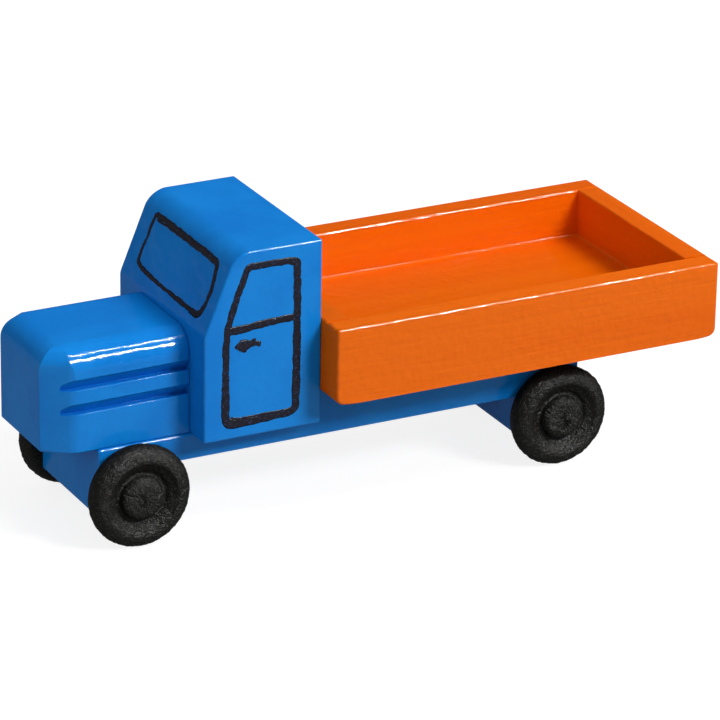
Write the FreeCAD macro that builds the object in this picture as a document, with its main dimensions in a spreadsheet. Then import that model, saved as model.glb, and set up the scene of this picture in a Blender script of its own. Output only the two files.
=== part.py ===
import FreeCAD, Part
import os
import re

import Sketcher

# A painted wooden toy truck: a notched chassis board on two axle blocks, a rounded bonnet
# with two grooves a side, a solid cab with a sloped windscreen, an open box bed of five
# boards, and two rolling wheelsets of a dowel and two turned wheels each.
# X points forward, Y to the truck's left and Z up. The origin is on the ground, under the
# middle of the truck's length and width.

# Two lengths closer than this are taken as one place, in millimetres.
SAME_PLACE = 0.0001

# Driving dimensions in millimetres.
SIZES = {
    "bed_length": 68.0,
    "bed_width": 42.2,
    "bed_height": 12.6,
    "bed_wall": 4.0,
    "bed_floor_thickness": 4.5,
    "bed_corner_radius": 1.35,
    "bed_edge_radius": 0.45,
    "cab_length": 20.0,
    "cab_width": 31.0,
    "cab_height": 30.5,
    "windscreen_setback": 5.3,
    "windscreen_sill": 17.5,
    "windscreen_fold_radius": 2.2,
    "cab_brow_radius": 4.0,
    "cab_edge_radius": 0.8,
    "bonnet_length": 23.9,
    "bonnet_side_inset": 0.3,
    "bonnet_height": 17.0,
    "bonnet_radius": 4.0,
    "vent_radius": 0.75,
    "vent_depth": 0.7,
    "upper_vent_height": 11.3,
    "lower_vent_height": 7.35,
    "vent_front_margin": 2.4,
    "chassis_width": 21.6,
    "chassis_thickness": 9.0,
    "chassis_nose_thickness": 4.2,
    "chassis_nose_length": 35.6,
    "chassis_tail_margin": 19.2,
    "arris_radius": 0.4,
    "axle_block_length": 10.6,
    "axle_block_height": 7.3,
    "front_axle_inset": 5.65,
    "rear_axle_inset": 4.95,
    "axle_drop": 3.25,
    "axle_diameter": 3.0,
    "axle_running_clearance": 0.08,
    "axle_glue_gap": 0.02,
    "wheel_diameter": 16.8,
    "wheel_thickness": 4.3,
    "wheel_side_gap": 0.35,
    "wheel_bore_depth": 3.0,
    "tyre_back_chamfer": 1.3,
    "hub_radius": 3.75,
    "hub_rise": 0.15,
    "hub_groove_width": 0.7,
    "hub_groove_depth": 1.5,
}

# Places that several pieces share, worked out from the driving dimensions.
CAB_REAR = "(bed_length - cab_length - bonnet_length) / 2"
CAB_FRONT = f"({CAB_REAR} + cab_length)"
BED_REAR = f"({CAB_REAR} - bed_length)"
CHASSIS_REAR = f"({BED_REAR} + chassis_tail_margin)"
CHASSIS_FRONT = f"({CAB_REAR} + chassis_nose_length)"
AXLE_HEIGHT = "(wheel_diameter / 2)"
CHASSIS_UNDERSIDE = f"({AXLE_HEIGHT} + axle_drop)"
CAB_SEAT = f"({CHASSIS_UNDERSIDE} + chassis_nose_thickness)"
BED_SEAT = f"({CHASSIS_UNDERSIDE} + chassis_thickness)"
AXLE_PLACES = {
    "front": f"({CHASSIS_FRONT} - front_axle_inset)",
    "rear": f"({CHASSIS_REAR} + rear_axle_inset)",
}
BLOCK_PLACES = {
    "front": f"({CHASSIS_FRONT} - axle_block_length / 2)",
    "rear": f"({CHASSIS_REAR} + axle_block_length / 2)",
}
WHEEL_MIDDLE = "(chassis_width / 2 + wheel_side_gap + wheel_thickness / 2)"
BONNET_HALF_WIDTH = "(chassis_width / 2 - bonnet_side_inset)"
SIDES = {"left": 1, "right": -1}

# The corners of the straight cuts that turn a tyre round, in degrees from tread to crest.
TYRE_CUTS = (0, 45, 90)

doc = FreeCAD.newDocument("toy_truck")
sheet = doc.addObject("Spreadsheet::Sheet", "Sizes")
for row, (alias, length) in enumerate(SIZES.items(), start=1):
    sheet.set(f"A{row}", alias)
    sheet.set(f"B{row}", str(length))
    sheet.setAlias(f"B{row}", alias)
doc.recompute()


def bound(text):
    """Turns names of sizes in a formula into references to the sheet."""
    return re.sub(r"[a-z]+(_[a-z]+)+", r"Sizes.\g<0>", text)


def amount(text):
    """Gives a formula's present value."""
    return float(sheet.evalExpression(bound(text)))


def new_body(name, x="0", y="0", z="0", turn=None):
    """Adds a body at a place given by formulas, turned by a rotation."""
    body = doc.addObject("PartDesign::Body", name)
    body.Label = name
    if turn:
        body.Placement.Rotation = turn
    for axis, text in zip("xyz", (x, y, z)):
        body.setExpression(f"Placement.Base.{axis}", bound(text))
    return body


def fix_corner(sketch, line, corner):
    """Ties the start of a line to two formulas, measured from the sketch's origin."""
    for direction, text in zip(("DistanceX", "DistanceY"), corner):
        number = sketch.addConstraint(Sketcher.Constraint(direction, -1, 1, line, 1, amount(text)))
        sketch.setExpression(f"Constraints[{number}]", bound(text))


def outline(body, name, plane, corners):
    """Draws a closed outline through corners given by formulas."""
    sketch = body.newObject("Sketcher::SketchObject", name)
    origin_plane = next(item for item in body.Origin.OriginFeatures if item.Role == plane)
    sketch.AttachmentSupport = (origin_plane, "")
    sketch.MapMode = "FlatFace"
    points = [FreeCAD.Vector(amount(x), amount(y), 0) for x, y in corners]
    for start, end in zip(points, points[1:] + points[:1]):
        sketch.addGeometry(Part.LineSegment(start, end), False)
    for number, corner in enumerate(corners):
        following = (number + 1) % len(corners)
        sketch.addConstraint(Sketcher.Constraint("Coincident", number, 2, following, 1))
        fix_corner(sketch, number, corner)
    return sketch


def pad(body, sketch, length, symmetric=False):
    """Raises a sketch into a solid, to one side or evenly to both."""
    feature = body.newObject("PartDesign::Pad", sketch.Name + "_pad")
    feature.Profile = sketch
    feature.setExpression("Length", bound(length))
    if symmetric:
        feature.SideType = "Symmetric"
    doc.recompute()
    return feature


def rounded(body, base, radius, chosen):
    """Fillets the edges of a feature that a test chooses."""
    names = [f"Edge{n}" for n, edge in enumerate(base.Shape.Edges, start=1) if chosen(edge)]
    feature = body.newObject("PartDesign::Fillet", base.Name + "_round")
    feature.Base = (base, names)
    feature.setExpression("Radius", bound(radius))
    doc.recompute()
    return feature


def runs_along(edge, axis):
    """Says whether an edge is straight and parallel to an axis."""
    if not isinstance(edge.Curve, Part.Line):
        return False
    return abs(getattr(edge.Curve.Direction, axis)) > 1 - Part.Precision.confusion()


def lies_at(edge, axis, text):
    """Says whether an edge's middle has a coordinate given by a formula."""
    middle = edge.valueAt((edge.FirstParameter + edge.LastParameter) / 2)
    return abs(getattr(middle, axis) - amount(text)) < SAME_PLACE


def box_corners(x_from, x_to, y_from, y_to):
    """Gives the four corners of a rectangle."""
    return [(x_from, y_from), (x_to, y_from), (x_to, y_to), (x_from, y_to)]


def bore(body, name, radius, x, z, length):
    """Cuts a straight round hole across the body along Y."""
    cut = body.newObject("PartDesign::SubtractiveCylinder", name)
    cut.setExpression("Radius", bound(radius))
    cut.setExpression("Height", bound(length))
    cut.Placement.Rotation = FreeCAD.Rotation(FreeCAD.Vector(1, 0, 0), 90)
    cut.setExpression("Placement.Base.x", bound(x))
    cut.setExpression("Placement.Base.y", bound(f"({length}) / 2"))
    cut.setExpression("Placement.Base.z", bound(z))
    doc.recompute()
    return cut


def make_chassis():
    """A board, notched at the front so that the cab and bonnet sit lower than the bed."""
    body = new_body("chassis", x=CAB_REAR, z=CHASSIS_UNDERSIDE)
    rear = "(chassis_tail_margin - bed_length)"
    corners = [
        (rear, "0"),
        ("chassis_nose_length", "0"),
        ("chassis_nose_length", "chassis_nose_thickness"),
        ("0", "chassis_nose_thickness"),
        ("0", "chassis_thickness"),
        (rear, "chassis_thickness"),
    ]
    sketch = outline(body, "chassis_side", "XZ_Plane", corners)
    board = pad(body, sketch, "chassis_width", symmetric=True)
    rounded(
        body, board, "arris_radius",
        lambda edge: not lies_at(edge, "x", "0")
        and (runs_along(edge, "z") or lies_at(edge, "z", "chassis_nose_thickness")),
    )
    return body


def make_axle_block(end):
    """A block under the chassis, bored across for the axle."""
    body = new_body(f"{end}_axle_block", x=BLOCK_PLACES[end], z=f"{CHASSIS_UNDERSIDE} - axle_block_height")
    half = "axle_block_length / 2"
    corners = box_corners(f"-{half}", half, "0", "axle_block_height")
    block = pad(body, outline(body, f"{end}_block_side", "XZ_Plane", corners), "chassis_width", symmetric=True)
    rounded(
        body, block, "arris_radius",
        lambda edge: runs_along(edge, "z") or (runs_along(edge, "y") and lies_at(edge, "z", "0")),
    )
    bore(
        body, f"{end}_axle_bore", "axle_diameter / 2 + axle_running_clearance",
        f"{AXLE_PLACES[end]} - {BLOCK_PLACES[end]}", "axle_block_height - axle_drop",
        "chassis_width + axle_diameter",
    )
    return body


def make_bonnet():
    """A block with rounded corners and top, and two half-round vent grooves a side."""
    body = new_body("bonnet", x=CAB_FRONT, z=CAB_SEAT)
    half = BONNET_HALF_WIDTH
    plan = outline(body, "bonnet_plan", "XY_Plane", box_corners("0", "bonnet_length", f"-{half}", half))
    block = pad(body, plan, "bonnet_height")
    corners = rounded(
        body, block, "bonnet_radius",
        lambda edge: runs_along(edge, "z") and lies_at(edge, "x", "bonnet_length"),
    )
    rounded(
        body, corners, "bonnet_radius",
        lambda edge: lies_at(edge, "z", "bonnet_height") and not lies_at(edge, "x", "0"),
    )
    for side, sign in SIDES.items():
        for level in ("upper", "lower"):
            axis_y = f"{sign} * ({BONNET_HALF_WIDTH} + vent_radius - vent_depth)"
            cut_vent(body, f"{level}_{side}_vent", axis_y, f"{level}_vent_height")
    return body


def cut_vent(body, name, y, z):
    """Cuts one groove from the cab forward, with a ball end short of the bonnet's front."""
    ball_x = "bonnet_length - vent_front_margin - vent_radius"
    length = f"{ball_x} + vent_radius"
    groove = body.newObject("PartDesign::SubtractiveCylinder", name)
    groove.Placement.Rotation = FreeCAD.Rotation(FreeCAD.Vector(0, 1, 0), 90)
    groove.setExpression("Radius", bound("vent_radius"))
    groove.setExpression("Height", bound(length))
    ball = body.newObject("PartDesign::SubtractiveSphere", name + "_end")
    ball.setExpression("Radius", bound("vent_radius"))
    for tool, x in ((groove, "-vent_radius"), (ball, ball_x)):
        for axis, text in zip("xyz", (x, y, z)):
            tool.setExpression(f"Placement.Base.{axis}", bound(text))
    doc.recompute()


def make_cab():
    """A solid block whose front slopes back above the windscreen's sill."""
    body = new_body("cab", x=CAB_REAR, z=CAB_SEAT)
    corners = [
        ("0", "0"),
        ("cab_length", "0"),
        ("cab_length", "windscreen_sill"),
        ("cab_length - windscreen_setback", "cab_height"),
        ("0", "cab_height"),
    ]
    block = pad(body, outline(body, "cab_side", "XZ_Plane", corners), "cab_width", symmetric=True)
    folded = rounded(
        body, block, "windscreen_fold_radius",
        lambda edge: runs_along(edge, "y") and lies_at(edge, "z", "windscreen_sill"),
    )
    browed = rounded(
        body, folded, "cab_brow_radius",
        lambda edge: runs_along(edge, "y") and lies_at(edge, "x", "cab_length - windscreen_setback"),
    )
    rounded(
        body, browed, "cab_edge_radius",
        lambda edge: not lies_at(edge, "z", "0") and not (runs_along(edge, "y") and not lies_at(edge, "x", "0")),
    )
    return body


def make_bed():
    """An open box of a floor, two full-length sides, a front board and a tailboard."""
    middle = f"({BED_REAR} + bed_length / 2)"
    inner_width = "(bed_width - 2 * bed_wall)"
    inner_length = "(bed_length - 2 * bed_wall)"

    def board(name, x, y, length, width, height):
        body = new_body(name, x=x, y=y, z=BED_SEAT)
        half_length, half_width = f"{length} / 2", f"{width} / 2"
        corners = box_corners(f"-{half_length}", half_length, f"-{half_width}", half_width)
        return body, pad(body, outline(body, name + "_plan", "XY_Plane", corners), height)

    def round_outside(body, block, axis, outer):
        def across(edge, height):
            return runs_along(edge, "y") and lies_at(edge, "z", height)

        cornered = rounded(
            body, block, "bed_corner_radius",
            lambda edge: across(edge, "0") and (axis == "y" or lies_at(edge, "x", outer)),
        )
        rounded(
            body, cornered, "bed_edge_radius",
            lambda edge: lies_at(edge, "z", "bed_height")
            and (lies_at(edge, axis, outer) or (axis == "y" and runs_along(edge, "y"))),
        )

    made = [board("bed_floor", middle, "0", inner_length, inner_width, "bed_floor_thickness")[0]]
    for name, sign in (("bed_front_board", 1), ("bed_tailboard", -1)):
        x = f"{middle} + {sign} * (bed_length - bed_wall) / 2"
        body, block = board(name, x, "0", "bed_wall", inner_width, "bed_height")
        outer = f"{sign} * bed_wall / 2"
        round_outside(body, block, "x", outer)
        made.append(body)
    for side, sign in SIDES.items():
        y = f"{sign} * (bed_width - bed_wall) / 2"
        body, block = board(f"bed_{side}_side", middle, y, "bed_length", "bed_wall", "bed_height")
        round_outside(body, block, "y", f"{sign} * bed_wall / 2")
        made.append(body)
    return made


def make_axle(end):
    """A dowel that turns in its block and is glued into a wheel at each side."""
    half = f"({WHEEL_MIDDLE} - wheel_thickness / 2 + wheel_bore_depth - axle_glue_gap)"
    turn = FreeCAD.Rotation(FreeCAD.Vector(1, 0, 0), 90)
    body = new_body(f"{end}_axle", x=AXLE_PLACES[end], y=half, z=AXLE_HEIGHT, turn=turn)
    dowel = body.newObject("PartDesign::AdditiveCylinder", f"{end}_dowel")
    dowel.setExpression("Radius", bound("axle_diameter / 2"))
    dowel.setExpression("Height", bound(f"2 * {half}"))
    doc.recompute()
    return body


def make_wheel(end, side):
    """A turned wheel: a full round tyre, a groove and a hub that stands proud, bored from behind."""
    sign = SIDES[side]
    turn = FreeCAD.Rotation(FreeCAD.Vector(1, 0, 0), -90 * sign)
    body = new_body(
        f"{end}_{side}_wheel", x=AXLE_PLACES[end], y=f"{sign} * {WHEEL_MIDDLE}", z=AXLE_HEIGHT, turn=turn
    )
    radius, half = "(wheel_diameter / 2)", "(wheel_thickness / 2)"
    bore_radius = "(axle_diameter / 2 + axle_glue_gap)"
    bore_end = f"(wheel_bore_depth - {half})"
    hub_face = f"({half} + hub_rise)"
    corners = [(bore_radius, f"-{half}"), (f"{radius} - tyre_back_chamfer", f"-{half}")]
    for angle in TYRE_CUTS:
        corners.append((f"{radius} - {half} * (1 - cos({angle} deg))", f"{half} * sin({angle} deg)"))
    corners += [
        ("hub_radius + hub_groove_width / 2", f"{half} - hub_groove_depth"),
        ("hub_radius", hub_face),
        ("0", hub_face),
        ("0", bore_end),
        (bore_radius, bore_end),
    ]
    sketch = outline(body, f"{end}_{side}_section", "XZ_Plane", corners)
    turned = body.newObject("PartDesign::Revolution", f"{end}_{side}_turned")
    turned.Profile = sketch
    turned.ReferenceAxis = (sketch, ["V_Axis"])
    turned.Angle = 360
    doc.recompute()
    return body


pieces = [make_chassis(), make_bonnet(), make_cab(), *make_bed()]
for axle_end in AXLE_PLACES:
    pieces += [make_axle_block(axle_end), make_axle(axle_end)]
    pieces += [make_wheel(axle_end, wheel_side) for wheel_side in SIDES]
doc.recompute()

for item in doc.Objects:
    if "Invalid" in item.State or "Error" in item.State:
        raise RuntimeError(f"{item.Name} failed: {item.State}")
for piece in pieces:
    if piece.Shape.isNull() or not piece.Shape.isValid() or len(piece.Shape.Solids) != 1:
        raise RuntimeError(f"{piece.Label} is not one valid solid")

os.makedirs("parts", exist_ok=True)
for piece in pieces:
    piece.Shape.exportStep(f"parts/{piece.Label}.step")
    print(piece.Label, round(piece.Shape.Volume, 1), piece.Shape.BoundBox)
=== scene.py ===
import math

import bmesh
import bpy
from bpy.props import FloatProperty, FloatVectorProperty, IntProperty, PointerProperty
from mathutils import Matrix, Vector, noise


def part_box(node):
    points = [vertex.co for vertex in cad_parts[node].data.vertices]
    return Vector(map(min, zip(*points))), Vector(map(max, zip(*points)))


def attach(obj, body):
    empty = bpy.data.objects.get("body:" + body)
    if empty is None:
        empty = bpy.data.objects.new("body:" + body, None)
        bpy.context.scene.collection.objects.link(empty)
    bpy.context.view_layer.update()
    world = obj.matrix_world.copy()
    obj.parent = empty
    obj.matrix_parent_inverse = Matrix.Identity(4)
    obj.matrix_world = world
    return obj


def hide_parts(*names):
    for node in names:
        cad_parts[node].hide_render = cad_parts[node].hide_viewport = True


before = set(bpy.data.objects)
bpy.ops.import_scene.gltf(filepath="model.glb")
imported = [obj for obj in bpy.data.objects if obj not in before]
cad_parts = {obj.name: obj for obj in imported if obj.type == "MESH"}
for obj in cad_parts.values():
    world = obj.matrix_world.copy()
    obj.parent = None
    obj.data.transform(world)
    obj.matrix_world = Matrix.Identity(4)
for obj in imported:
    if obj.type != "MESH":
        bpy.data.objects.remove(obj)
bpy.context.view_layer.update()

# A painted wooden toy truck: the glossy paint, the pen lines on the cab, the softened
# edges and the turned wheels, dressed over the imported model. X points forward, Y to the
# truck's left and Z up, in metres.

bl_info = {
    "name": "Painted Wooden Toy Truck",
    "version": (1, 0, 0),
    "blender": (4, 5, 0),
    "location": "View3D > Sidebar > Toy Truck",
    "description": "Models and paints a small wooden toy truck over its packed frame",
    "category": "Add Mesh",
}

MM = 0.001

# Places are told apart by NEAR. Cuts, and the last merge of a piece, are ten times as fine.
NEAR = 0.01 * MM

# Fixed pieces ride on the truck, and each wheel rides on its own wheelset.
TRUCK = "truck"
WHEELSETS = {"front": "front_wheelset", "rear": "rear_wheelset"}
SIDES = {"left": 1, "right": -1}

# Pen lines on the cab's sides, in millimetres forward of the cab's rear and above its foot,
# with the width of the line there.
DOOR_LINE = [
    (12.65, 27.95, 1.0), (8.97, 27.97, 0.95), (5.57, 27.9, 1.0), (4.3, 27.6, 1.3), (4.25, 24.5, 1.2),
    (4.24, 16.3, 1.15), (4.27, 8.0, 1.25), (4.35, 3.3, 1.2), (5.3, 2.8, 1.2), (10.45, 2.54, 1.3),
    (15.6, 2.45, 1.5), (16.4, 3.3, 1.2), (16.34, 11.8, 1.1), (16.29, 16.0, 1.05), (16.1, 18.3, 1.0),
    (14.6, 23.0, 1.05),
]
WAIST_LINE = [(16.0, 17.85, 1.2), (12.3, 18.1, 1.15), (8.88, 18.39, 1.15), (4.4, 18.58, 1.1)]
SILL_LINE = [(15.7, 3.9, 0.35), (15.0, 3.25, 0.4), (12.2, 3.22, 0.4), (8.7, 3.3, 0.4), (6.0, 3.35, 0.35)]
HANDLE_LINE = [
    (14.2, 14.2, 1.7), (14.0, 14.8, 2.0), (13.4, 15.2, 2.1), (12.9, 15.3, 1.6), (12.1, 15.4, 1.0),
    (10.9, 15.6, 1.1),
]
HANDLE_HOOK_LINE = [(10.9, 15.9, 0.9), (10.8, 15.3, 1.0), (11.1, 14.5, 0.9)]

# The windscreen's pen lines, in millimetres across to the left and up the slope from its sill.
WINDSCREEN_LINE = [
    (-10.9, 11.4, 0.9), (-4.0, 11.5, 0.85), (1.5, 11.25, 1.1), (6.8, 11.26, 1.15), (11.35, 11.1, 1.2),
    (11.9, 9.2, 1.0), (12.45, 7.0, 0.95), (12.35, 4.9, 0.95), (11.8, 2.9, 1.1), (10.8, 2.2, 1.1),
    (6.8, 2.35, 0.8), (3.2, 2.36, 0.65), (-0.5, 2.37, 0.55), (-4.2, 2.45, 0.7), (-7.3, 2.67, 0.8),
    (-9.6, 2.8, 0.75), (-11.1, 3.2, 0.9), (-11.3, 3.9, 0.8), (-11.3, 5.7, 0.7), (-11.05, 7.3, 0.65),
    (-11.15, 9.1, 0.7),
]
WINDSCREEN_SECOND_LINE = [(-10.3, 10.75, 0.5), (-7.3, 10.8, 0.42), (-3.7, 10.86, 0.42), (0.5, 10.95, 0.5)]

# The longest piece of a pen line before it is smoothed, how far the hand and the ink's edge wander,
# the length over which the pressure changes, and the share of the width left at open ends.
PEN_STEP = 0.36 * MM
PEN_WOBBLE = 0.1 * MM
INK_WOBBLE = 0.07 * MM
PEN_BEAT = 1.6 * MM
PEN_LIFT = 0.6

# Dents in the hubs: place forward of and above the axle and half lengths in millimetres, turn in
# degrees, and depth in millimetres.
HUB_DENTS = {
    "front": [((2.5, 1.1), (0.7, 0.16), 24, 0.3), ((-2.6, 0.55), (0.5, 0.14), 168, 0.3)],
    "rear": [((-0.45, -1.15), (0.95, 0.38), 132, 0.9)],
}

# The dished ring between tyre and hub: height over the floor of the groove and distance from the
# hub, in millimetres, and the number of rings up to there.
HUB_DISH = ((0.7, 1.35, 4), (0.5, 0.95, 3), (0, 0.6, 4), (0.1, 0, 2))

# The soft upper lip of the bonnet's grooves: heights on the groove and depths there, as shares.
GROOVE_BROW = ((1, 0), (0.88, 0.03), (0.74, 0.12))


class ToyTruckShape(bpy.types.PropertyGroup):
    """Sizes of the softened edges and the turned and drawn details."""

    windscreen_sill: FloatProperty(
        name="Windscreen Sill", description="Height of the windscreen's foot above the cab's",
        default=17.5 * MM, unit="LENGTH", precision=5,
    )
    windscreen_setback: FloatProperty(
        name="Windscreen Setback", description="How far the roof stands back from the cab's front",
        default=5.3 * MM, unit="LENGTH", precision=5,
    )
    brow_radius: FloatProperty(
        name="Brow Radius", description="Rounding between the windscreen and the roof",
        default=4.0 * MM, unit="LENGTH", precision=5,
    )
    fold_radius: FloatProperty(
        name="Fold Radius", description="Rounding of the fold under the windscreen",
        default=2.2 * MM, unit="LENGTH", precision=5,
    )
    cab_edge: FloatProperty(
        name="Cab Edge", description="Rounding of the cab's other edges",
        default=0.8 * MM, unit="LENGTH", precision=5,
    )
    bonnet_radius: FloatProperty(
        name="Bonnet Radius", description="Rounding of the bonnet's top edges",
        default=4.0 * MM, unit="LENGTH", precision=5,
    )
    facet_depth: FloatProperty(
        name="Facet Depth", description="How far each front corner is sanded back from the side",
        default=3.1 * MM, unit="LENGTH", precision=5,
    )
    facet_length: FloatProperty(
        name="Facet Length", description="How far each sanded corner reaches back along the side",
        default=4.45 * MM, unit="LENGTH", precision=5,
    )
    facet_shoulder: FloatProperty(
        name="Facet Shoulder", description="Rounding of the edge over a sanded corner",
        default=3.2 * MM, unit="LENGTH", precision=5,
    )
    facet_lip: FloatProperty(
        name="Facet Lip", description="Rounding between a sanded corner and the front",
        default=0.35 * MM, unit="LENGTH", precision=5,
    )
    facet_blend: FloatProperty(
        name="Facet Blend", description="Rounding between a sanded corner and the side",
        default=3.5 * MM, unit="LENGTH", precision=5,
    )
    joint_edge: FloatProperty(
        name="Joint Edge", description="Softening of the bonnet's rear outline, against the cab",
        default=0.25 * MM, unit="LENGTH", precision=5,
    )
    foot_edge: FloatProperty(
        name="Foot Edge", description="Softening of the lower edges of the bonnet and cab",
        default=0.35 * MM, unit="LENGTH", precision=5,
    )
    groove_height: FloatProperty(
        name="Groove Height", description="Height of the bonnet's grooves on its side",
        default=1.75 * MM, unit="LENGTH", precision=5,
    )
    groove_depth: FloatProperty(
        name="Groove Depth", description="Depth of the grooves at their foot",
        default=1.9 * MM, unit="LENGTH", precision=5,
    )
    groove_fall: FloatProperty(
        name="Groove Fall", description="How far the grooves' deepest line lies below their lower lip",
        default=0.35 * MM, unit="LENGTH", precision=5,
    )
    groove_corner: FloatProperty(
        name="Groove Corner", description="Rounding at the deepest line of the grooves",
        default=0.16 * MM, unit="LENGTH", precision=5,
    )
    groove_rise: FloatProperty(
        name="Groove Rise", description="How much higher each groove lies at the cab than in front",
        default=0.2 * MM, unit="LENGTH", precision=5,
    )
    groove_lip: FloatProperty(
        name="Groove Lip", description="Softening of the grooves' lips",
        default=0.25 * MM, unit="LENGTH", precision=5,
    )
    groove_margin: FloatProperty(
        name="Groove Margin", description="Distance of the grooves' tips from the bonnet's front",
        default=2.7 * MM, unit="LENGTH", precision=5,
    )
    groove_bend: FloatProperty(
        name="Groove Bend", description="Length over which each groove turns in along the sanded corner",
        default=2.6 * MM, unit="LENGTH", precision=5,
    )
    groove_dip: FloatProperty(
        name="Groove Dip", description="How far each groove turns in along the sanded corner",
        default=0.3 * MM, unit="LENGTH", precision=5,
    )
    upper_groove: FloatProperty(
        name="Upper Groove", description="Height of the upper groove's lower lip above the bonnet's foot",
        default=10.4 * MM, unit="LENGTH", precision=5,
    )
    lower_groove: FloatProperty(
        name="Lower Groove", description="Height of the lower groove's lower lip above the bonnet's foot",
        default=6.42 * MM, unit="LENGTH", precision=5,
    )
    bed_corner: FloatProperty(
        name="Bed Corner", description="Rounding of the bed's lower ends",
        default=1.35 * MM, unit="LENGTH", precision=5,
    )
    bed_edge: FloatProperty(
        name="Bed Edge", description="Rounding of the bed's outer edges",
        default=0.45 * MM, unit="LENGTH", precision=5,
    )
    bed_inner_edge: FloatProperty(
        name="Bed Inner Edge", description="Rounding of the rim's inner edges",
        default=0.3 * MM, unit="LENGTH", precision=5,
    )
    paint_cove: FloatProperty(
        name="Paint Cove", description="Width of the bead of paint where the floor meets its walls",
        default=0.38 * MM, unit="LENGTH", precision=5,
    )
    tyre_back: FloatProperty(
        name="Tyre Back", description="Rounding of the tyre towards the truck",
        default=1.3 * MM, unit="LENGTH", precision=5,
    )
    tyre_lip: FloatProperty(
        name="Tyre Lip", description="Rounding where the tyre turns down towards the hub",
        default=0.8 * MM, unit="LENGTH", precision=5,
    )
    tyre_half: FloatProperty(
        name="Tyre Half Thickness", description="Half the thickness of the round tyre",
        default=2.15 * MM, unit="LENGTH", precision=5,
    )
    hub_radius: FloatProperty(
        name="Hub Radius", description="Radius of the turned hub",
        default=3.6 * MM, unit="LENGTH", precision=5,
    )
    hub_edge: FloatProperty(
        name="Hub Edge", description="Softening of the hub's edge",
        default=1.1 * MM, unit="LENGTH", precision=5,
    )
    hub_groove_depth: FloatProperty(
        name="Hub Groove Depth", description="Depth of the groove below the tyre's crest",
        default=1.5 * MM, unit="LENGTH", precision=5,
    )
    wood_relief: FloatProperty(
        name="Wood Relief", description="Height of the torn grain left on the turned wheels",
        default=0.05 * MM, unit="LENGTH", precision=5,
    )
    ink_spread: FloatProperty(
        name="Ink Spread", description="How much wider than the pen's track the ink lies",
        default=1.18, min=1,
    )
    pen_pressure: FloatProperty(
        name="Pen Pressure", description="How much the width of a pen line wanders, as a share",
        default=0.2, min=0, max=1,
    )
    pen_height: FloatProperty(
        name="Pen Height", description="How far the ink stands proud of the paint",
        default=0.03 * MM, unit="LENGTH", precision=6,
    )


class ToyTruckPaint(bpy.types.PropertyGroup):
    """Colours and gloss of the paints."""

    blue: FloatVectorProperty(
        name="Blue", description="Paint of the cab, bonnet and chassis", subtype="COLOR",
        size=4, min=0, max=1, default=(0.006, 0.215, 0.66, 1),
    )
    blue_shade: FloatVectorProperty(
        name="Blue Shade", description="Thicker patches of the blue paint", subtype="COLOR",
        size=4, min=0, max=1, default=(0.004, 0.185, 0.61, 1),
    )
    orange: FloatVectorProperty(
        name="Orange", description="Paint of the bed", subtype="COLOR",
        size=4, min=0, max=1, default=(0.78, 0.132, 0.002, 1),
    )
    orange_shade: FloatVectorProperty(
        name="Orange Shade", description="Thicker patches of the orange paint", subtype="COLOR",
        size=4, min=0, max=1, default=(0.74, 0.112, 0.001, 1),
    )
    black: FloatVectorProperty(
        name="Black", description="Paint of the wheels", subtype="COLOR",
        size=4, min=0, max=1, default=(0.008, 0.008, 0.007, 1),
    )
    black_worn: FloatVectorProperty(
        name="Black Worn", description="Wheel paint where the wood's pores show", subtype="COLOR",
        size=4, min=0, max=1, default=(0.035, 0.033, 0.03, 1),
    )
    ink: FloatVectorProperty(
        name="Ink", description="Pen lines", subtype="COLOR",
        size=4, min=0, max=1, default=(0.01, 0.009, 0.015, 1),
    )
    ink_thin: FloatVectorProperty(
        name="Thin Ink", description="Specks where the ink lies thinly over the blue", subtype="COLOR",
        size=4, min=0, max=1, default=(0.03, 0.05, 0.13, 1),
    )
    dowel: FloatVectorProperty(
        name="Dowel", description="Bare wood of the axles", subtype="COLOR",
        size=4, min=0, max=1, default=(0.46, 0.3, 0.16, 1),
    )
    dowel_grain: FloatVectorProperty(
        name="Dowel Grain", description="Darker grain of the axles", subtype="COLOR",
        size=4, min=0, max=1, default=(0.33, 0.2, 0.1, 1),
    )
    gloss: FloatProperty(
        name="Gloss", description="Weight of the clear gloss over the paints", default=0.075,
        min=0, max=1, subtype="FACTOR",
    )
    gloss_ior: FloatProperty(
        name="Gloss Index", description="Refractive index of the clear gloss", default=2.0, min=1,
    )


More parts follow.
